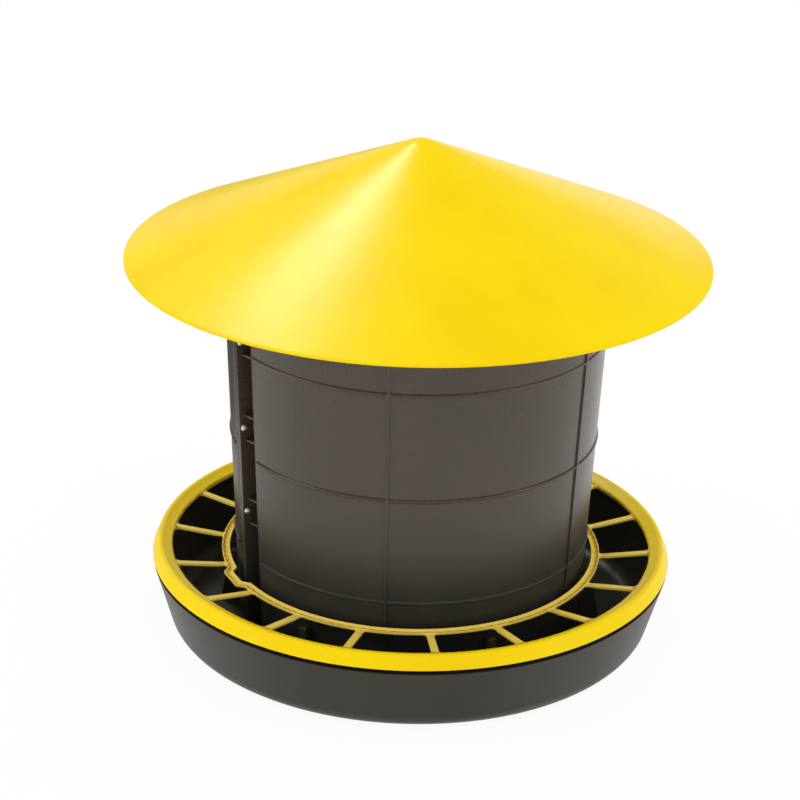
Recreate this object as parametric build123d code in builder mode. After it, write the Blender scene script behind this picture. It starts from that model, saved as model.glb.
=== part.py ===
"""Poultry feeder: a bolted two-panel hopper in a round pan, with a grill ring and a rain cover.

Millimetres, +Z up, origin on the floor under the middle of the pan. The hopper's two seams lie on
the X axis, and the -Y side is the front.
"""

import math
import os

from build123d import *

# Feed pan
pan_shoulder_radius = 251.3
pan_shoulder_height = 66.5
pan_draft = 15.9
pan_corner_radius = 18.7
pan_wall = 2.5
pan_rim_set_back = 7.5
pan_rim_rise = 12.5
pan_cone_radius = 132.0
pan_cone_height = 66.0

# Six posts on the pan floor carry the hopper and keep it in the middle
post_count = 6
post_width = 8.0
post_seat_height = 24.0
post_height = 56.0
post_seat_depth = 13.0
post_foot_reach = 18.0
post_top_width = 7.0
post_round = 3.0
post_clearance = 0.5

# Hopper of two moulded panels
hopper_height = 385.7
hopper_bottom_radius = 168.4
hopper_top_radius = 184.2
hopper_wall = 2.5
bead_radius = 1.8
bead_sink = 0.4
first_bead_height = 96.3
bead_spacing = 105.0
bead_count = 3
rim_bead_drop = 2.6
bead_end_gap = 4.0
rib_angle = 33.5
rib_width = 2.4
rib_rise = 1.5
rib_end_margin = 6.0

# Seam of the panels: a flange in a slanted pocket at each end
flange_thickness = 3.0
flange_reach = 4.5
pocket_depth = 10.0
pocket_width = 22.0
pocket_corner_radius = 12.0
gusset_thickness = 2.0
gusset_width = 16.5
gusset_offset = 12.5

# Seam screws and nuts
screw_count = 3
first_screw_height = 142.0
screw_spacing = 86.0
screw_edge = 4.5
screw_diameter = 4.0
screw_hole_clearance = 0.4
screw_head_diameter = 7.4
screw_head_height = 2.7
screw_tip_length = 1.6
nut_across_flats = 7.0
nut_height = 3.2

# Grill ring
ring_wall = 2.0
ring_reveal = 0.7
ring_shadow_gap = 3.0
ring_seat_clearance = 0.3
ring_rim_clearance = 0.6
crest_rise = 1.2
crest_width = 4.0
crest_radius = 3.0
band_slope_width = 7.5
band_slope_drop = 4.6
lip_width = 1.3
lip_rise = 0.6
hook_drop = 9.3
hook_clearance = 1.2
grill_slope = 8.2
grill_length = 48.0
grill_tuck = 0.8
grill_thickness = 2.2
spoke_count = 18
spoke_width = 6.8
opening_corner_radius = 5.0
collar_width = 7.7
collar_height = 5.5
collar_rise = 1.4
collar_wall = 1.8
collar_groove_depth = 1.6
notch_depth = 6.0
notch_half_width = 11.5
notch_flare = 5.5
notch_corner_radius = 3.0

# Rain cover
cover_radius = 274.7
cover_angle = 22.7
cover_wall = 2.2
cover_tip_radius = 28.0
cover_lip_height = 2.2
cover_lip_radius = 1.4
cover_seat_clearance = 0.3
cover_rib_count = 6
cover_rib_width = 3.0
cover_rib_drop = 12.0
cover_rib_foot = 14.0
cover_rib_length = 58.0
cover_rib_clearance = 1.5

# Heights that follow from the sizes above
hopper_bottom = post_seat_height
hopper_top = hopper_bottom + hopper_height
pan_rim_height = pan_shoulder_height + pan_rim_rise


def hopper_radius(height):
    """Outer radius of the slightly flared hopper wall at a height above the floor."""
    share = (height - hopper_bottom) / hopper_height
    return hopper_bottom_radius + share * (hopper_top_radius - hopper_bottom_radius)


def radial_plane(angle):
    """Upright plane through the Z axis, with its x direction at an angle from +X."""
    turn = math.radians(angle)
    outward = (math.cos(turn), math.sin(turn), 0)
    normal = (math.sin(turn), -math.cos(turn), 0)
    return Plane(origin=(0, 0, 0), x_dir=outward, z_dir=normal)


# Pan: one moulding with a feed cone in the middle, a shoulder and a rim for the grill ring
pan_slope = math.tan(math.radians(pan_draft))
pan_rim_radius = pan_shoulder_radius - pan_rim_set_back
pan_wall_run = pan_wall / math.cos(math.radians(pan_draft))
pan_foot_radius = pan_shoulder_radius - pan_shoulder_height * pan_slope
ledge_height = pan_shoulder_height - pan_wall
ledge_radius = pan_shoulder_radius - pan_wall * pan_slope - pan_wall_run
pan_inner_foot = pan_foot_radius + pan_wall * pan_slope - pan_wall_run
cone_slope = pan_cone_height / pan_cone_radius
cone_wall_rise = pan_wall * math.hypot(1, cone_slope)
cone_top = pan_wall + pan_cone_height
cone_hollow_radius = (cone_top - cone_wall_rise) / cone_slope
post_face = hopper_radius(post_height) + post_clearance
post_seat_radius = hopper_bottom_radius - post_seat_depth

with BuildSketch(Plane.XZ) as post_section:
    with BuildLine():
        Polyline(
            (post_seat_radius, pan_wall / 2),
            (post_seat_radius, post_seat_height),
            (post_face, post_seat_height),
            (post_face, post_height),
            (post_face + post_top_width, post_height),
            (post_face + post_foot_reach, pan_wall / 2),
            close=True,
        )
    make_face()
    post_top = post_section.vertices().group_by(Axis.Y)[-1]
    fillet(post_top, post_round)
post = extrude(post_section.sketch, amount=post_width / 2, both=True)

with BuildPart() as feed_pan:
    with BuildSketch(Plane.XZ) as pan_section:
        with BuildLine():
            Polyline(
                (0, cone_top - cone_wall_rise),
                (cone_hollow_radius, 0),
                (pan_foot_radius, 0),
                (pan_shoulder_radius, pan_shoulder_height),
                (pan_rim_radius, pan_shoulder_height),
                (pan_rim_radius, pan_rim_height),
                (pan_rim_radius - pan_wall, pan_rim_height),
                (pan_rim_radius - pan_wall, ledge_height),
                (ledge_radius, ledge_height),
                (pan_inner_foot, pan_wall),
                (pan_cone_radius, pan_wall),
                (0, cone_top),
                close=True,
            )
        make_face()
        outer_corner = pan_section.vertices().sort_by_distance((pan_foot_radius, 0, 0))[0]
        fillet(outer_corner, pan_corner_radius)
        inner_corner = pan_section.vertices().sort_by_distance((pan_inner_foot, pan_wall, 0))[0]
        fillet(inner_corner, pan_corner_radius - pan_wall)
    revolve(axis=Axis.Z)
    with PolarLocations(0, post_count, start_angle=180 / post_count):
        add(post)
feed_pan.part.label = "feed_pan"


# Hopper panel: flared half shell with beads, ribs, and a bolting flange in a pocket at each end
def panel_section(height):
    """Closed outline of one panel at a height, drawn on the plane at that height."""
    radius = hopper_radius(height)
    inner_radius = radius - hopper_wall
    tip = radius + flange_reach
    root = radius - pocket_depth
    shoulder = math.sqrt(radius**2 - pocket_width**2)
    run = shoulder - root
    fall = pocket_width - flange_thickness
    length = math.hypot(run, fall)
    along = (run / length, -fall / length)
    start_x = root - hopper_wall * fall / length
    start_y = -flange_thickness - hopper_wall * run / length
    mate = start_x - along[0] * start_y / along[1]
    middle = start_x * along[0] + start_y * along[1]
    spread = start_x**2 + start_y**2 - inner_radius**2
    step = math.sqrt(middle**2 - spread) - middle
    inner_x = start_x + step * along[0]
    inner_y = start_y + step * along[1]
    with BuildSketch(Plane.XY.offset(height)) as section:
        with BuildLine():
            Polyline(
                (-tip, 0),
                (-tip, -flange_thickness),
                (-root, -flange_thickness),
                (-shoulder, -pocket_width),
            )
            ThreePointArc((-shoulder, -pocket_width), (0, -radius), (shoulder, -pocket_width))
            Polyline(
                (shoulder, -pocket_width),
                (root, -flange_thickness),
                (tip, -flange_thickness),
                (tip, 0),
                (mate, 0),
                (inner_x, inner_y),
            )
            ThreePointArc((inner_x, inner_y), (0, -inner_radius), (-inner_x, inner_y))
            Polyline((-inner_x, inner_y), (-mate, 0), (-tip, 0))
        make_face()
        for side in (-1, 1):
            outer = section.vertices().sort_by_distance((side * shoulder, -pocket_width, 0))[0]
            fillet(outer, pocket_corner_radius)
            inner = section.vertices().sort_by_distance((side * inner_x, inner_y, 0))[0]
            fillet(inner, pocket_corner_radius - hopper_wall)
    return section.sketch


bead_heights = [first_bead_height + place * bead_spacing for place in range(bead_count)]
bead_heights.append(hopper_top - rim_bead_drop)
screw_heights = [first_screw_height + place * screw_spacing for place in range(screw_count)]
rib_foot = hopper_bottom + rib_end_margin
rib_head = hopper_top - rim_bead_drop

bottom_section = panel_section(hopper_bottom)
top_section = panel_section(hopper_top)
bead_margin = pocket_width + bead_end_gap

with BuildPart() as hopper_panel_front:
    loft([bottom_section, top_section], ruled=True)
    for height in bead_heights:
        wall_radius = hopper_radius(height)
        end_angle = math.degrees(math.asin(bead_margin / wall_radius))
        with BuildSketch(radial_plane(180 + end_angle)):
            with Locations((wall_radius - bead_sink, height)):
                Circle(bead_radius)
        revolve(axis=Axis.Z, revolution_arc=180 - 2 * end_angle)
    for angle in (-90 - rib_angle, -90 + rib_angle):
        with BuildSketch(radial_plane(angle)):
            with BuildLine():
                Polyline(
                    (hopper_radius(rib_foot) - hopper_wall / 2, rib_foot),
                    (hopper_radius(rib_foot) + rib_rise, rib_foot),
                    (hopper_radius(rib_head) + rib_rise, rib_head),
                    (hopper_radius(rib_head) - hopper_wall / 2, rib_head),
                    close=True,
                )
            make_face()
        extrude(amount=rib_width / 2, both=True)
    for height in screw_heights:
        screw_reach = hopper_radius(height) + flange_reach - screw_edge
        for gusset_height in (height - gusset_offset, height + gusset_offset):
            radius = hopper_radius(gusset_height)
            root = radius - pocket_depth
            shoulder = math.sqrt(radius**2 - pocket_width**2)
            share = (gusset_width - flange_thickness) / (pocket_width - flange_thickness)
            wall_x = root + share * (shoulder - root)
            for side in (-1, 1):
                with BuildSketch(Plane.XY.offset(gusset_height)):
                    with BuildLine():
                        Polyline(
                            (side * (root - hopper_wall / 2), -flange_thickness / 2),
                            (side * radius, -flange_thickness / 2),
                            (side * (wall_x - hopper_wall / 2), -gusset_width),
                            close=True,
                        )
                    make_face()
                extrude(amount=gusset_thickness / 2, both=True)
        with BuildSketch(Plane.XZ):
            with Locations((screw_reach, height), (-screw_reach, height)):
                Circle((screw_diameter + screw_hole_clearance) / 2)
        extrude(amount=2 * flange_thickness, both=True, mode=Mode.SUBTRACT)
    with BuildSketch(Plane.XZ):
        with BuildLine():
            Polyline(
                (hopper_top_radius, hopper_top),
                (hopper_top_radius + 2 * flange_reach, hopper_top),
                (hopper_top_radius + 2 * flange_reach, hopper_top - 2 * flange_reach),
                close=True,
            )
        make_face()
    revolve(axis=Axis.Z, mode=Mode.SUBTRACT)
hopper_panel_front.part.label = "hopper_panel_front"

with BuildPart() as hopper_panel_back:
    add(hopper_panel_front.part, rotation=(0, 0, 180))
hopper_panel_back.part.label = "hopper_panel_back"


# Seam screws point along Y through both flanges, with a nut on the far side
screw_length = 2 * flange_thickness + nut_height + screw_tip_length
head_plane = Plane(origin=(0, -flange_thickness, 0), x_dir=(1, 0, 0), z_dir=(0, -1, 0))
nut_plane = Plane(origin=(0, flange_thickness, 0), x_dir=(1, 0, 0), z_dir=(0, 1, 0))
head_radius = screw_head_diameter / 2
dome_radius = (head_radius**2 + screw_head_height**2) / (2 * screw_head_height)
half_turn = Location((0, 0, 0), (0, 0, 180))

with BuildPart() as screw:
    with BuildSketch(Plane.XZ):
        with BuildLine():
            Polyline((0, screw_head_height), (0, -screw_length), (screw_diameter / 2, -screw_length))
            Polyline((screw_diameter / 2, -screw_length), (screw_diameter / 2, 0), (head_radius, 0))
            RadiusArc((head_radius, 0), (0, screw_head_height), -dome_radius)
        make_face()
    revolve(axis=Axis.Z)

with BuildPart() as nut:
    with BuildSketch():
        RegularPolygon(nut_across_flats / 2, 6, major_radius=False)
        Circle(screw_diameter / 2, mode=Mode.SUBTRACT)
    extrude(amount=nut_height)

with BuildPart() as seam_screws:
    for height in screw_heights:
        reach = hopper_radius(height) + flange_reach - screw_edge
        place = Location(head_plane.shift_origin((-reach, -flange_thickness, height)))
        add(screw.part.moved(place))
        add(screw.part.moved(half_turn * place))
seam_screws.part.label = "seam_screws"

with BuildPart() as seam_nuts:
    for height in screw_heights:
        reach = hopper_radius(height) + flange_reach - screw_edge
        place = Location(nut_plane.shift_origin((-reach, flange_thickness, height)))
        add(nut.part.moved(place))
        add(nut.part.moved(half_turn * place))
seam_nuts.part.label = "seam_nuts"


# Grill ring: band with a skirt over the pan rim, spokes, and a grooved collar round the hopper
skirt_radius = pan_shoulder_radius + ring_reveal
skirt_bottom = pan_shoulder_height + ring_shadow_gap
seat_height = pan_rim_height + ring_seat_clearance
crest_height = seat_height + ring_wall + crest_rise
crest_outer = pan_rim_radius + ring_rim_clearance + ring_wall
hook_outer = pan_rim_radius - pan_wall - hook_clearance
hook_inner = hook_outer - ring_wall
hook_bottom = seat_height - hook_drop
crest_inner = crest_outer - crest_width
band_inner = crest_inner - band_slope_width
lip_height = crest_height - band_slope_drop
web_outer = band_inner - lip_width
web_outer_height = lip_height - lip_rise
opening_outer = web_outer - grill_tuck
opening_inner = opening_outer - grill_length
grill_rise = math.tan(math.radians(grill_slope))
web_inner = opening_inner - collar_width / 2
web_inner_height = web_outer_height - grill_rise * (web_outer - web_inner)
collar_inner = opening_inner - collar_width
collar_top = web_outer_height - grill_rise * grill_length + collar_rise
collar_bottom = collar_top - collar_height
notch_spread = math.tan(math.atan2(notch_depth, notch_flare) / 2)


def collar_outline(radius, flat, corner):
    """Round outline with a rounded bulge at each seam of the hopper, drawn on the XY plane."""
    with BuildSketch() as outline:
        Circle(radius)
        for side in (-1, 1):
            with BuildLine():
                Polyline(
                    (side * (radius - notch_depth), -flat - 2 * notch_flare),
                    (side * (radius + notch_depth), -flat),
                    (side * (radius + notch_depth), flat),
                    (side * (radius - notch_depth), flat + 2 * notch_flare),
                    close=True,
                )
            make_face()
        fillet(outline.vertices(), corner)
    return outline.sketch


collar_inside = collar_outline(collar_inner, notch_half_width, notch_corner_radius)
collar_outside = collar_outline(
    opening_inner, notch_half_width + collar_width * notch_spread, notch_corner_radius
)
groove_inside = collar_outline(
    collar_inner + collar_wall, notch_half_width + collar_wall * notch_spread, notch_corner_radius
)
groove_outside = collar_outline(
    opening_inner - collar_wall,
    notch_half_width + (collar_width - collar_wall) * notch_spread,
    notch_corner_radius,
)

with BuildPart() as grill_ring:
    with BuildSketch(Plane.XZ) as ring_section:
        with BuildLine():
            Polyline(
                (web_inner, web_inner_height),
                (web_outer, web_outer_height),
                (web_outer, lip_height),
                (band_inner, lip_height),
                (crest_inner, crest_height),
                (crest_outer, crest_height),
                (skirt_radius, skirt_bottom),
                (skirt_radius - ring_wall, skirt_bottom),
                (crest_outer - ring_wall, seat_height),
                (hook_outer, seat_height),
                (hook_outer, hook_bottom),
                (hook_inner, hook_bottom),
                (hook_inner, web_outer_height),
                (web_outer, web_outer_height - grill_thickness),
                (web_inner, web_inner_height - grill_thickness),
                close=True,
            )
        make_face()
        for crest in (crest_inner, crest_outer):
            crest_corner = ring_section.vertices().sort_by_distance((crest, crest_height, 0))[0]
            fillet(crest_corner, crest_radius)
    revolve(axis=Axis.Z)
    with BuildSketch(Plane.XY.offset(collar_bottom)) as openings:
        Circle(opening_outer)
        Circle(opening_inner - grill_tuck, mode=Mode.SUBTRACT)
        with PolarLocations(0, spoke_count, start_angle=180 / spoke_count):
            with Locations((opening_inner + grill_length / 2, 0)):
                Rectangle(2 * grill_length, spoke_width, mode=Mode.SUBTRACT)
        fillet(openings.vertices(), opening_corner_radius)
    extrude(amount=crest_height - collar_bottom, mode=Mode.SUBTRACT)
    with BuildSketch(Plane.XY.offset(collar_bottom)):
        add(collar_outside)
    extrude(amount=collar_height)
    with BuildSketch(Plane.XY.offset(collar_bottom)):
        add(collar_inside)
    extrude(amount=collar_height, mode=Mode.SUBTRACT)
    with BuildSketch(Plane.XY.offset(collar_top)):
        add(groove_outside)
        add(groove_inside, mode=Mode.SUBTRACT)
    extrude(amount=-collar_groove_depth, mode=Mode.SUBTRACT)
grill_ring.part.label = "grill_ring"


# Rain cover: straight cone with a round tip and a short lip, located by ribs inside the hopper
cover_slope = math.tan(math.radians(cover_angle))
cover_wall_drop = cover_wall / math.cos(math.radians(cover_angle))
cover_peak = hopper_top + cover_seat_clearance + cover_wall_drop + hopper_top_radius * cover_slope
tip_centre = cover_peak - cover_tip_radius / math.cos(math.radians(cover_angle))
inner_tip_radius = cover_tip_radius - cover_wall
cover_rim = cover_peak - cover_radius * cover_slope
rib_outer = hopper_top_radius - hopper_wall - cover_rib_clearance
rib_inner = rib_outer - cover_rib_length
rib_bottom = hopper_top - cover_rib_drop


def cover_underside(radius):
    """Height of the cover's inner face at a distance from the axis."""
    return cover_peak - cover_wall_drop - radius * cover_slope


def tip_point(radius, share):
    """Point on an arc about the tip's centre, from the axis (0) to where the cone starts (1)."""
    turn = math.radians(cover_angle) * share
    return (radius * math.sin(turn), tip_centre + radius * math.cos(turn))


with BuildSketch(Plane.XZ) as cover_rib_section:
    with BuildLine():
        Polyline(
            (rib_inner, cover_underside(rib_inner) + cover_wall / 2),
            (rib_outer, cover_underside(rib_outer) + cover_wall / 2),
            (rib_outer, rib_bottom),
            (rib_outer - cover_rib_foot, rib_bottom),
            close=True,
        )
    make_face()
cover_rib = extrude(cover_rib_section.sketch, amount=cover_rib_width / 2, both=True)

with BuildPart() as rain_cover:
    with BuildSketch(Plane.XZ) as cover_section:
        with BuildLine():
            ThreePointArc(
                tip_point(cover_tip_radius, 0),
                tip_point(cover_tip_radius, 0.5),
                tip_point(cover_tip_radius, 1),
            )
            Polyline(
                tip_point(cover_tip_radius, 1),
                (cover_radius, cover_rim),
                (cover_radius, cover_rim - cover_lip_height),
                (cover_radius - cover_wall, cover_rim - cover_lip_height),
                (cover_radius - cover_wall, cover_underside(cover_radius - cover_wall)),
                tip_point(inner_tip_radius, 1),
            )
            ThreePointArc(
                tip_point(inner_tip_radius, 1),
                tip_point(inner_tip_radius, 0.5),
                tip_point(inner_tip_radius, 0),
            )
            Line(tip_point(inner_tip_radius, 0), tip_point(cover_tip_radius, 0))
        make_face()
        rim_corner = cover_section.vertices().sort_by_distance((cover_radius, cover_rim, 0))[0]
        fillet(rim_corner, cover_lip_radius)
    revolve(axis=Axis.Z)
    with PolarLocations(0, cover_rib_count, start_angle=180 / cover_rib_count):
        add(cover_rib)
rain_cover.part.label = "rain_cover"


os.makedirs("parts", exist_ok=True)
export_step(feed_pan.part, "parts/feed_pan.step")
export_step(hopper_panel_front.part, "parts/hopper_panel_front.step")
export_step(hopper_panel_back.part, "parts/hopper_panel_back.step")
export_step(seam_screws.part, "parts/seam_screws.step")
export_step(seam_nuts.part, "parts/seam_nuts.step")
export_step(grill_ring.part, "parts/grill_ring.step")
export_step(rain_cover.part, "parts/rain_cover.step")
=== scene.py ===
import math

import bpy
from mathutils import Euler, Matrix, Vector


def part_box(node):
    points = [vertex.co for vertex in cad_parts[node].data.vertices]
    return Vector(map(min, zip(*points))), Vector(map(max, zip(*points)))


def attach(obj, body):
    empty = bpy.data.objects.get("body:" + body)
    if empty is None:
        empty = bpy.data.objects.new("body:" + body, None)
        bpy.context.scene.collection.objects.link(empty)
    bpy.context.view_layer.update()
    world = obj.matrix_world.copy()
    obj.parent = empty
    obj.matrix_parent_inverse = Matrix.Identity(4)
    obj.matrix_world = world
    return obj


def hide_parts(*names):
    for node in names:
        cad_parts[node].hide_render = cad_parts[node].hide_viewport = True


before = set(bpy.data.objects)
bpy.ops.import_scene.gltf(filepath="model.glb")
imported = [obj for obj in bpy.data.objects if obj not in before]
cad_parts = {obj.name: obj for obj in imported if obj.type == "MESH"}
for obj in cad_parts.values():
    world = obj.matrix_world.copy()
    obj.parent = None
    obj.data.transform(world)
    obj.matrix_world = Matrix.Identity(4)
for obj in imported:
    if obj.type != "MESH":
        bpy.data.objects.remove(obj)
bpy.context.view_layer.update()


# Feed pan: one round polypropylene moulding with a feed cone, six hopper posts and a rim. It
# stands on the ground and carries all the rest. The tool leaves it a fine satin grain, faint flow
# marks and slightly soft edges.
class Field:
    """A shader socket that takes part in Python expressions, each adding its Math node."""

    def __init__(self, tree, socket):
        self.tree = tree
        self.socket = socket

    def math(self, operation, *values):
        return self.tree.add("ShaderNodeMath", {"operation": operation}, *values)

    def __add__(self, other):
        return self.math("ADD", self, other)

    def __sub__(self, other):
        return self.math("SUBTRACT", self, other)

    def __mul__(self, other):
        return self.math("MULTIPLY", self, other)

    __radd__ = __add__
    __rmul__ = __mul__

    def __rsub__(self, other):
        return self.math("SUBTRACT", other, self)


class Tree:
    """A node tree that is built up one node at a time."""

    def __init__(self, node_tree):
        self.nodes = node_tree.nodes
        self.links = node_tree.links

    def add(self, kind, settings, *values, output=0, **named):
        """Any node, by its type, its settings and what its sockets hold or are linked to."""
        node = self.nodes.new(kind)
        for setting, value in settings.items():
            setattr(node, setting, value)
        for place, value in enumerate(values):
            self.feed(node.inputs[place], value)
        for socket, value in named.items():
            self.feed(node.inputs[socket.replace("_", " ")], value)
        return Field(self, node.outputs[output])

    def feed(self, socket, value):
        """Links a field to a socket, or sets the socket to a plain value."""
        if isinstance(value, Field):
            self.links.new(value.socket, socket)
        else:
            socket.default_value = value

    def blend(self, share, first, second):
        """A colour between two, by a share from 0 to 1."""
        mixer = self.nodes.new("ShaderNodeMix")
        mixer.data_type = "RGBA"
        self.feed(mixer.inputs[0], share)
        self.feed(mixer.inputs[6], first)
        self.feed(mixer.inputs[7], second)
        return Field(self, mixer.outputs[2])


class Finish(Tree):
    """A material round one Principled shader."""

    def __init__(self, name):
        self.material = bpy.data.materials.new(name)
        self.material.use_nodes = True
        super().__init__(self.material.node_tree)
        self.shader = self.nodes["Principled BSDF"]

    def give(self, **sockets):
        """Sets or links sockets of the Principled shader."""
        for socket, value in sockets.items():
            self.feed(self.shader.inputs[socket.replace("_", " ")], value)

    def given(self, socket):
        """What a socket of the Principled shader is linked to by now."""
        return Field(self, self.shader.inputs[socket].links[0].from_socket)


def linear(red, green, blue):
    """Blender's linear colour for an sRGB colour given in 0 to 255."""
    channels = []
    for value in (red, green, blue):
        share = value / 255
        channels.append(share / 12.92 if share <= 0.04045 else ((share + 0.055) / 1.055) ** 2.4)
    return (*channels, 1)


def moulded(name, colour, deep_colour, gloss, grain_size, grain_depth, stretch):
    """Injection-moulded plastic: two close tones in flow marks, a fine grain and soft edges."""
    flow_scale = 9.0
    patch_scale = 38.0
    gloss_spread = 0.05
    edge_radius = 0.0007
    finish = Finish(name)
    place = finish.add("ShaderNodeTexCoord", {}, output=3)
    flow_place = finish.add("ShaderNodeMapping", {}, place, Scale=stretch)
    flow = finish.add(
        "ShaderNodeTexNoise", {}, Vector=flow_place, Scale=flow_scale, Detail=3.0, Roughness=0.5
    )
    speckle = finish.add(
        "ShaderNodeTexNoise", {}, Vector=place, Scale=1 / grain_size, Detail=2.0
    )
    patches = finish.add("ShaderNodeTexNoise", {}, Vector=place, Scale=patch_scale, Detail=3.0)
    share = finish.add(
        "ShaderNodeMapRange", {}, flow * 0.8 + patches * 0.15 + speckle * 0.05,
        From_Min=0.35, From_Max=0.65,
    )
    soft_edge = finish.add("ShaderNodeBevel", {"samples": 6}, Radius=edge_radius)
    grain = finish.add(
        "ShaderNodeBump", {}, Height=speckle, Distance=grain_depth, Strength=0.6, Normal=soft_edge
    )
    finish.give(
        Base_Color=finish.blend(share, deep_colour, colour),
        Roughness=gloss + (patches - 0.5) * gloss_spread + (speckle - 0.5) * gloss_spread,
        Normal=grain,
    )
    return finish


def dress(node, finish):
    """Gives a CAD node that stays in view its material."""
    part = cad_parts[node]
    part.data.materials.clear()
    part.data.materials.append(finish.material)


pan_plastic = moulded(
    "dark_pan_plastic",
    colour=linear(58, 56, 46),
    deep_colour=linear(51, 49, 40),
    gloss=0.4,
    grain_size=0.0011,
    grain_depth=0.00004,
    stretch=(1.0, 1.0, 0.25),
)
pan_plastic.give(Specular_IOR_Level=0.25)
dress("feed_pan", pan_plastic)

# Hopper panels: two like half shells of the same dark polypropylene, bolted flange to flange and
# stood on the pan's posts. Their faces are a little browner and glossier than the pan. Towards the
# foot, down in the ring, their colour is painted darker and greyer as painted shade, and they turn
# duller.
foot_end = 0.07
foot_top = 0.2
foot_haze = 0.28
hopper_plastic = moulded(
    "dark_hopper_plastic",
    colour=linear(66, 56, 42),
    deep_colour=linear(59, 50, 37),
    gloss=0.27,
    grain_size=0.0011,
    grain_depth=0.00004,
    stretch=(1.0, 1.0, 0.25),
)
hopper_place = hopper_plastic.add("ShaderNodeTexCoord", {}, output=3)
hopper_height = hopper_plastic.add("ShaderNodeSeparateXYZ", {}, hopper_place, output=2)
foot_shade_and_haze = hopper_plastic.add(
    "ShaderNodeMapRange", {"interpolation_type": "SMOOTHSTEP"}, hopper_height,
    From_Min=foot_end, From_Max=foot_top, To_Min=1.0, To_Max=0.0,
)
# Painted shade: the base colour turns darker and greyer towards the foot, and the roughness rises
# there too.
hopper_plastic.give(
    Base_Color=hopper_plastic.blend(foot_shade_and_haze, hopper_plastic.given("Base Color"), linear(40, 40, 39)),
    Roughness=hopper_plastic.given("Roughness") + foot_shade_and_haze * foot_haze,
    Specular_IOR_Level=0.6,
)
for side in ("front", "back"):
    dress(f"hopper_panel_{side}", hopper_plastic)


# Seam screws: six round-headed M4 machine screws of zinc-plated steel through the two flanges,
# three to a seam, each with a cross recess in its head and a rolled thread at its tip.
def turned(name, profile, around):
    """A solid turned about Z: a circle extruded and resized through (radius, height) steps."""
    bpy.ops.object.select_all(action="DESELECT")
    radius, height = profile[0]
    bpy.ops.mesh.primitive_circle_add(vertices=around, radius=radius, location=(0, 0, height))
    piece = bpy.context.object
    piece.name = name
    bpy.ops.object.transform_apply()
    bpy.ops.object.mode_set(mode="EDIT")
    for next_radius, next_height in profile[1:]:
        rise = {"value": (0, 0, next_height - height)}
        bpy.ops.mesh.extrude_region_move(TRANSFORM_OT_translate=rise)
        growth = next_radius / radius
        bpy.ops.transform.resize(value=(growth, growth, 1), center_override=(0, 0, next_height))
        radius, height = next_radius, next_height
    bpy.ops.mesh.select_non_manifold(extend=False)
    bpy.ops.mesh.fill_holes(sides=0)
    bpy.ops.mesh.select_all(action="SELECT")
    bpy.ops.mesh.normals_make_consistent(inside=False)
    bpy.ops.object.mode_set(mode="OBJECT")
    return piece


def block(name, length, width, height, middle):
    """A block about a point, as a cutter."""
    bpy.ops.object.select_all(action="DESELECT")
    bpy.ops.mesh.primitive_cube_add(size=1, location=middle)
    piece = bpy.context.object
    piece.name = name
    bpy.ops.transform.resize(value=(length, width, height))
    bpy.ops.object.transform_apply()
    return piece


def choose(piece):
    """Makes a piece the only one selected, and the active one."""
    bpy.ops.object.select_all(action="DESELECT")
    bpy.context.view_layer.objects.active = piece
    piece.select_set(True)


def combine(piece, tool, operation):
    """Cuts a piece with a tool, or keeps what both share, and clears the tool away."""
    choose(piece)
    bpy.ops.object.modifier_add(type="BOOLEAN")
    cut = piece.modifiers[-1]
    cut.operation = operation
    cut.solver = "EXACT"
    cut.object = tool
    bpy.ops.object.modifier_apply(modifier=cut.name)
    bpy.data.objects.remove(tool)


def merge_doubles(distance):
    """Joins the chosen piece's vertices that lie within a distance."""
    bpy.ops.object.mode_set(mode="EDIT")
    bpy.ops.mesh.select_all(action="SELECT")
    bpy.ops.mesh.remove_doubles(threshold=distance)
    bpy.ops.object.mode_set(mode="OBJECT")


def copy_of(pattern, name):
    """A copy of an object with a mesh of its own."""
    copy = pattern.copy()
    copy.data = pattern.data.copy()
    copy.name = name
    bpy.context.scene.collection.objects.link(copy)
    return copy


def finish_piece(piece, finish, node):
    """Gives a finished piece its material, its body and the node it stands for."""
    piece.data.materials.clear()
    piece.data.materials.append(finish.material)
    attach(piece, "root")
    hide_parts(node)


def fasten(pattern, node, depth, turn):
    """Copies a fastener to each screw's place, its own Z axis pointing out of the flange."""
    for side, seam in ((-1, "left"), (1, "right")):
        for number, height in enumerate(screw_heights, 1):
            one = copy_of(pattern, f"{pattern.name}_{seam}_{number}")
            reach = hopper_low_radius + (height - hopper_low) / hopper_rise * hopper_flare
            place = Matrix.Translation((-reach, depth, height)) @ Matrix.Rotation(turn, 4, "X")
            if side > 0:
                place = Matrix.Rotation(math.pi, 4, "Z") @ place
            one.data.transform(place)
            finish_piece(one, zinc, node)
    bpy.data.objects.remove(pattern)


hopper_low, hopper_high = (corner.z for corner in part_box("hopper_panel_front"))
hopper_rise = hopper_high - hopper_low
hopper_low_radius = 0.1684
hopper_flare = 0.0158
flange_thickness = 0.003
screw_heights = (0.142, 0.228, 0.314)
head_radius = 0.0037
head_height = 0.0027
dome_steps = 8
dome_fullness = 0.9
crown_share = 0.02
shank_radius = 0.002
shank_length = 0.0108
thread_length = 0.005
thread_pitch = 0.0007
thread_depth = 0.00035
recess_length = 0.0038
recess_width = 0.00075
recess_depth = 0.0015

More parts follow.
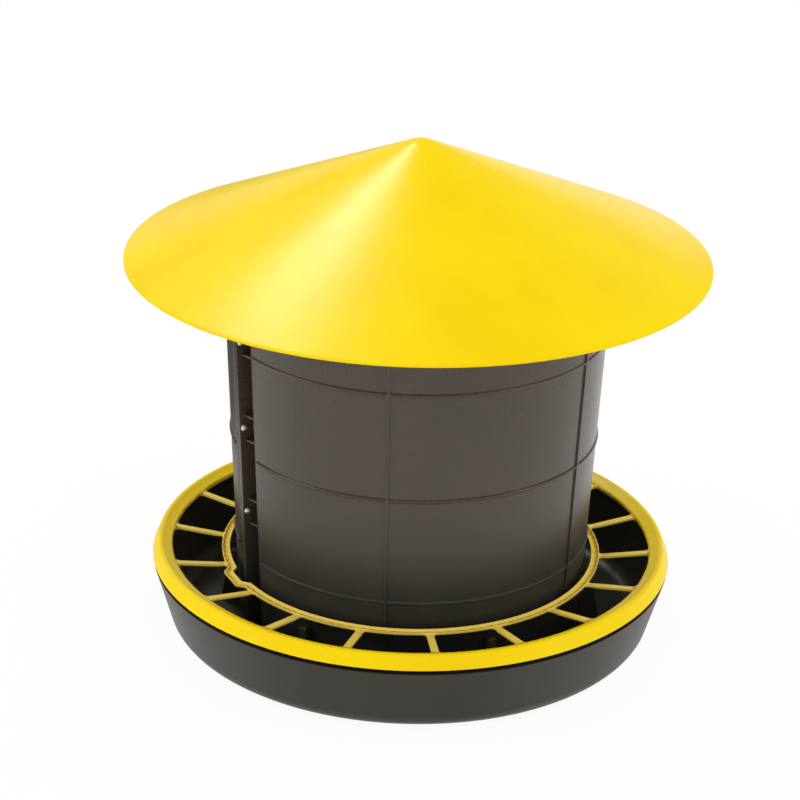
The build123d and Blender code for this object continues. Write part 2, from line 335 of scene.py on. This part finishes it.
screw_profile = [(shank_radius - thread_depth, -shank_length)]
for turn in range(round(thread_length / thread_pitch)):
    crest = -shank_length + (turn + 0.5) * thread_pitch
    screw_profile.append((shank_radius, crest))
    screw_profile.append((shank_radius - thread_depth, crest + thread_pitch / 2))
screw_profile.append((shank_radius, thread_length - shank_length + thread_pitch / 2))
screw_profile.append((shank_radius, 0))
screw_profile.append((head_radius, 0))
for step in range(1, dome_steps):
    swing = math.radians(90 * step / dome_steps)
    lift = math.sin(swing) ** dome_fullness
    screw_profile.append((head_radius * math.cos(swing), head_height * lift))
screw_profile.append((head_radius * crown_share, head_height))
screw = turned("seam_screw", screw_profile, around=40)
recess_middle = (0, 0, head_height - recess_depth / 2)
for length, width in ((recess_length, recess_width), (recess_width, recess_length)):
    combine(screw, block("slot", length, width, recess_depth, recess_middle), "DIFFERENCE")
bpy.ops.object.shade_smooth_by_angle(angle=math.radians(35))

zinc = Finish("bright_zinc_plate")
zinc_place = zinc.add("ShaderNodeTexCoord", {}, output=3)
zinc_cloud = zinc.add("ShaderNodeTexNoise", {}, Vector=zinc_place, Scale=600.0, Detail=3.0)
zinc_soft_edge = zinc.add("ShaderNodeBevel", {"samples": 4}, Radius=0.00015)
zinc.give(
    Base_Color=zinc.blend(zinc_cloud, linear(196, 198, 204), linear(228, 226, 218)),
    Roughness=0.2 + zinc_cloud * 0.16,
    Normal=zinc_soft_edge,
    Metallic=1.0,
)
fasten(screw, "seam_screws", -flange_thickness, math.pi / 2)

# Seam nuts: hexagon M4 nuts of the same plated steel on the screws' tips, behind the flanges.
# They come off the bar with their corners chamfered at both ends.
nut_across_flats = 0.007
nut_height = 0.0032
nut_corner_radius = nut_across_flats / 2 / math.cos(math.pi / 6)
nut_chamfer = 0.0004
nut_weld = 0.000005
nut = turned("seam_nut", [(nut_corner_radius, 0), (nut_corner_radius, nut_height)], around=6)
corner_rounding = turned(
    "corner_rounding",
    [
        (nut_across_flats / 2, 0),
        (nut_corner_radius, nut_chamfer),
        (nut_corner_radius, nut_height - nut_chamfer),
        (nut_across_flats / 2, nut_height),
    ],
    around=48,
)
combine(nut, corner_rounding, "INTERSECT")
bore = turned("bore", [(shank_radius, -nut_height), (shank_radius, 2 * nut_height)], around=40)
combine(nut, bore, "DIFFERENCE")
merge_doubles(nut_weld)
bpy.ops.object.shade_smooth_by_angle(angle=math.radians(25))
fasten(nut, "seam_nuts", flange_thickness, -math.pi / 2)


# Grill ring: one bright yellow polypropylene moulding that drops over the pan's rim. Its band and
# spokes are the CAD ring's, and its collar is thinner, as the photograph shows it. The spokes and
# collar inside the band are painted paler than it: painted light for light through the thin
# plastic and highlights on it.
def yellow_moulding(name, gloss, shine):
    """The yellow plastic, as glossy as the piece needs."""
    finish = moulded(
        name,
        colour=linear(254, 222, 4),
        deep_colour=linear(250, 213, 2),
        gloss=gloss,
        grain_size=0.0012,
        grain_depth=0.00003,
        stretch=(1.0, 1.0, 0.6),
    )
    finish.give(Specular_IOR_Level=shine)
    return finish


opening_outer = 0.2328
glow_margin = 0.001
collar_reach = 0.1925
collar_lift = 0.0015
collar_cut = 0.0693
below_collar = 0.05
ring_weld = 0.00001
ring = copy_of(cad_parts["grill_ring"], "grill_ring_moulding")
for key in [key for key in ring.keys() if key.startswith("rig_")]:
    del ring[key]
ring.parent = None
choose(ring)
merge_doubles(ring_weld)
under_collar = turned(
    "under_collar", [(collar_reach, below_collar), (collar_reach, collar_cut)], around=96
)
combine(ring, under_collar, "DIFFERENCE")
for vertex in ring.data.vertices:
    vertex.select = math.hypot(vertex.co.x, vertex.co.y) < collar_reach
bpy.ops.object.mode_set(mode="EDIT")
bpy.ops.mesh.select_mode(type="VERT")
bpy.ops.transform.translate(value=(0, 0, collar_lift))
bpy.ops.object.mode_set(mode="OBJECT")
bpy.ops.object.shade_smooth_by_angle(angle=math.radians(30))

ring_plastic = yellow_moulding("yellow_ring_plastic", gloss=0.34, shine=0.12)
ring_place = ring_plastic.add("ShaderNodeTexCoord", {}, output=3)
ring_flat = ring_plastic.add(
    "ShaderNodeVectorMath", {"operation": "MULTIPLY"}, ring_place, (1, 1, 0)
)
from_axis = ring_plastic.add("ShaderNodeVectorMath", {"operation": "LENGTH"}, ring_flat, output=1)
painted_glow_mask = ring_plastic.add(
    "ShaderNodeMapRange", {}, from_axis,
    From_Min=opening_outer - glow_margin, From_Max=opening_outer + glow_margin,
    To_Min=1.0, To_Max=0.0,
)
# Painted light: inside the band the spokes and collar get a paler cream, for light through the
# thin plastic and highlights on them.
ring_plastic.give(
    Base_Color=ring_plastic.blend(painted_glow_mask, ring_plastic.given("Base Color"), linear(252, 220, 96))
)
finish_piece(ring, ring_plastic, "grill_ring")

# Rain cover: a shallow cone of the same yellow polypropylene, moulded in one with the lip at its
# edge and the ribs under it. It rests on the hopper's rim by its weight and lifts off for filling.
dress("rain_cover", yellow_moulding("yellow_cover_plastic", gloss=0.29, shine=0.06))

# Studio floor: a white sweep that shows white to the camera and in reflections, and keeps a faint
# shadow. Only in reflections, a dark card lies behind and left of the feeder, so that the hopper's
# left edge stands out dark against the white.
camera_turn = math.radians(-26.2)
floor_size = 60.0
floor_glow = 0.93
floor_white = 0.97
card_edge = (-0.35, -0.12)
card_start = (0.15, 0.4)
card_shade = 0.85
camera_ray, glossy_ray, transmission_ray = 0, 3, 6
bpy.ops.object.select_all(action="DESELECT")
bpy.ops.mesh.primitive_plane_add(size=floor_size)
floor = bpy.context.object
floor.name = "studio_floor"
white = Finish("white_studio_floor")
white.give(
    Base_Color=(floor_white, floor_white, floor_white, 1), Roughness=1.0, Specular_IOR_Level=0.0
)
floor_place = white.add("ShaderNodeTexCoord", {}, output=3)
floor_place = white.add("ShaderNodeMapping", {}, floor_place, Rotation=(0, 0, -camera_turn))
right_of_camera = white.add("ShaderNodeSeparateXYZ", {}, floor_place, output=0)
away_from_camera = white.add("ShaderNodeSeparateXYZ", {}, floor_place, output=1)
card_left = white.add(
    "ShaderNodeMapRange", {}, right_of_camera,
    From_Min=card_edge[0], From_Max=card_edge[1], To_Min=card_shade, To_Max=0.0,
)
card_back = white.add(
    "ShaderNodeMapRange", {}, away_from_camera, From_Min=card_start[0], From_Max=card_start[1]
)
in_view = white.add("ShaderNodeLightPath", {}, output=camera_ray)
in_gloss = white.add("ShaderNodeLightPath", {}, output=glossy_ray)
in_glass = white.add("ShaderNodeLightPath", {}, output=transmission_ray)
glow = white.add("ShaderNodeEmission", {}, Color=(1, 1, 1, 1), Strength=1.0)
card = white.add("ShaderNodeEmission", {}, Color=(0, 0, 0, 1), Strength=0.0)
lit_floor = Field(white, white.shader.outputs["BSDF"])
seen = (in_view + in_gloss + in_glass) * floor_glow
lit_floor = white.add("ShaderNodeMixShader", {}, seen, lit_floor, glow)
lit_floor = white.add("ShaderNodeMixShader", {}, in_gloss * card_left * card_back, lit_floor, card)
white.feed(white.nodes["Material Output"].inputs["Surface"], lit_floor)
floor.data.materials.append(white.material)

# Studio sky: white behind the feeder, even for diffuse light. Glossy surfaces see it white at the
# horizon and dim overhead, as under the lamps of a dark hall, which keeps the yellow deep.
diffuse_light = 0.72
horizon_light = 1.0
ceiling_light = 0.22
horizon_top = 0.13
ceiling_start = 0.32
world = bpy.data.worlds.new("white_studio")
bpy.context.scene.world = world
world.use_nodes = True
sky = Tree(world.node_tree)
heading = sky.add("ShaderNodeTexCoord", {}, output=0)
rise = sky.add("ShaderNodeSeparateXYZ", {}, heading, output=2)
level = sky.add(
    "ShaderNodeMapRange", {"interpolation_type": "SMOOTHSTEP"}, rise,
    From_Min=horizon_top, From_Max=ceiling_start, To_Min=horizon_light, To_Max=ceiling_light,
)
in_view = sky.add("ShaderNodeLightPath", {}, output=camera_ray)
in_gloss = sky.add("ShaderNodeLightPath", {}, output=glossy_ray)
in_glass = sky.add("ShaderNodeLightPath", {}, output=transmission_ray)
seen_level = level.math("MAXIMUM", level, in_view)
shown = in_view.math("MAXIMUM", in_view, in_gloss)
shown = shown.math("MAXIMUM", shown, in_glass)
backdrop = sky.nodes["Background"]
backdrop.inputs["Color"].default_value = (1, 1, 1, 1)
sky.feed(backdrop.inputs["Strength"], shown * seen_level + (1 - shown) * diffuse_light)


# Lamps: square softboxes round the feeder. One makes only the pale streak down the cover, and two
# behind the feeder only fill in the ring's far side, without a gleam of their own.
def softbox(name, direction, reach, width, power):
    """A square lamp, placed by its direction right of, away from and above the camera."""
    way = Matrix.Rotation(camera_turn, 3, "Z") @ Vector(direction).normalized()
    bpy.ops.object.light_add(type="AREA", location=lamp_target + reach * way)
    lamp = bpy.context.object
    lamp.name = name
    lamp.data.size = width
    lamp.data.energy = power
    lamp.rotation_euler = way.to_track_quat("Z", "Y").to_euler()
    return lamp


lamp_target = Vector((0, 0, 0.3))
softbox("front_softbox", (0.1, -0.5, 0.87), reach=3.0, width=1.6, power=12)
streak = softbox("streak_softbox", (-0.285, 0.514, 0.809), reach=3.2, width=0.7, power=70)
streak.visible_diffuse = False
softbox("left_softbox", (-0.85, -0.25, 0.4), reach=2.8, width=1.2, power=14)
softbox("right_softbox", (0.85, -0.35, 0.35), reach=2.8, width=1.2, power=8)
for name, side in (("back_left_fill", -1), ("back_right_fill", 1)):
    fill = softbox(name, (side * 0.4, 0.75, 0.53), reach=2.8, width=1.2, power=12)
    fill.visible_glossy = False

# Camera: the photograph's viewpoint, well above the cover's rim and turned off the seams.
camera_pitch = math.radians(23.043)
camera_yaw = math.radians(-0.360)
camera_roll = math.radians(1.41)
camera_reach = 2.2154
camera_height = 1.1682
camera_data = bpy.data.cameras.new("photo_camera")
camera_data.lens = 113.02
camera_data.sensor_width = 36
camera = bpy.data.objects.new("photo_camera", camera_data)
bpy.context.scene.collection.objects.link(camera)
facing = Euler((math.pi / 2 - camera_pitch, 0, camera_turn - camera_yaw)).to_matrix()
facing = facing @ Matrix.Rotation(camera_roll, 3, "Z")
place = Matrix.Rotation(camera_turn, 3, "Z") @ Vector((0, -camera_reach, camera_height))
camera.matrix_world = Matrix.Translation(place) @ facing.to_4x4()
bpy.context.scene.camera = camera

bpy.context.scene.view_settings.view_transform = "Standard"
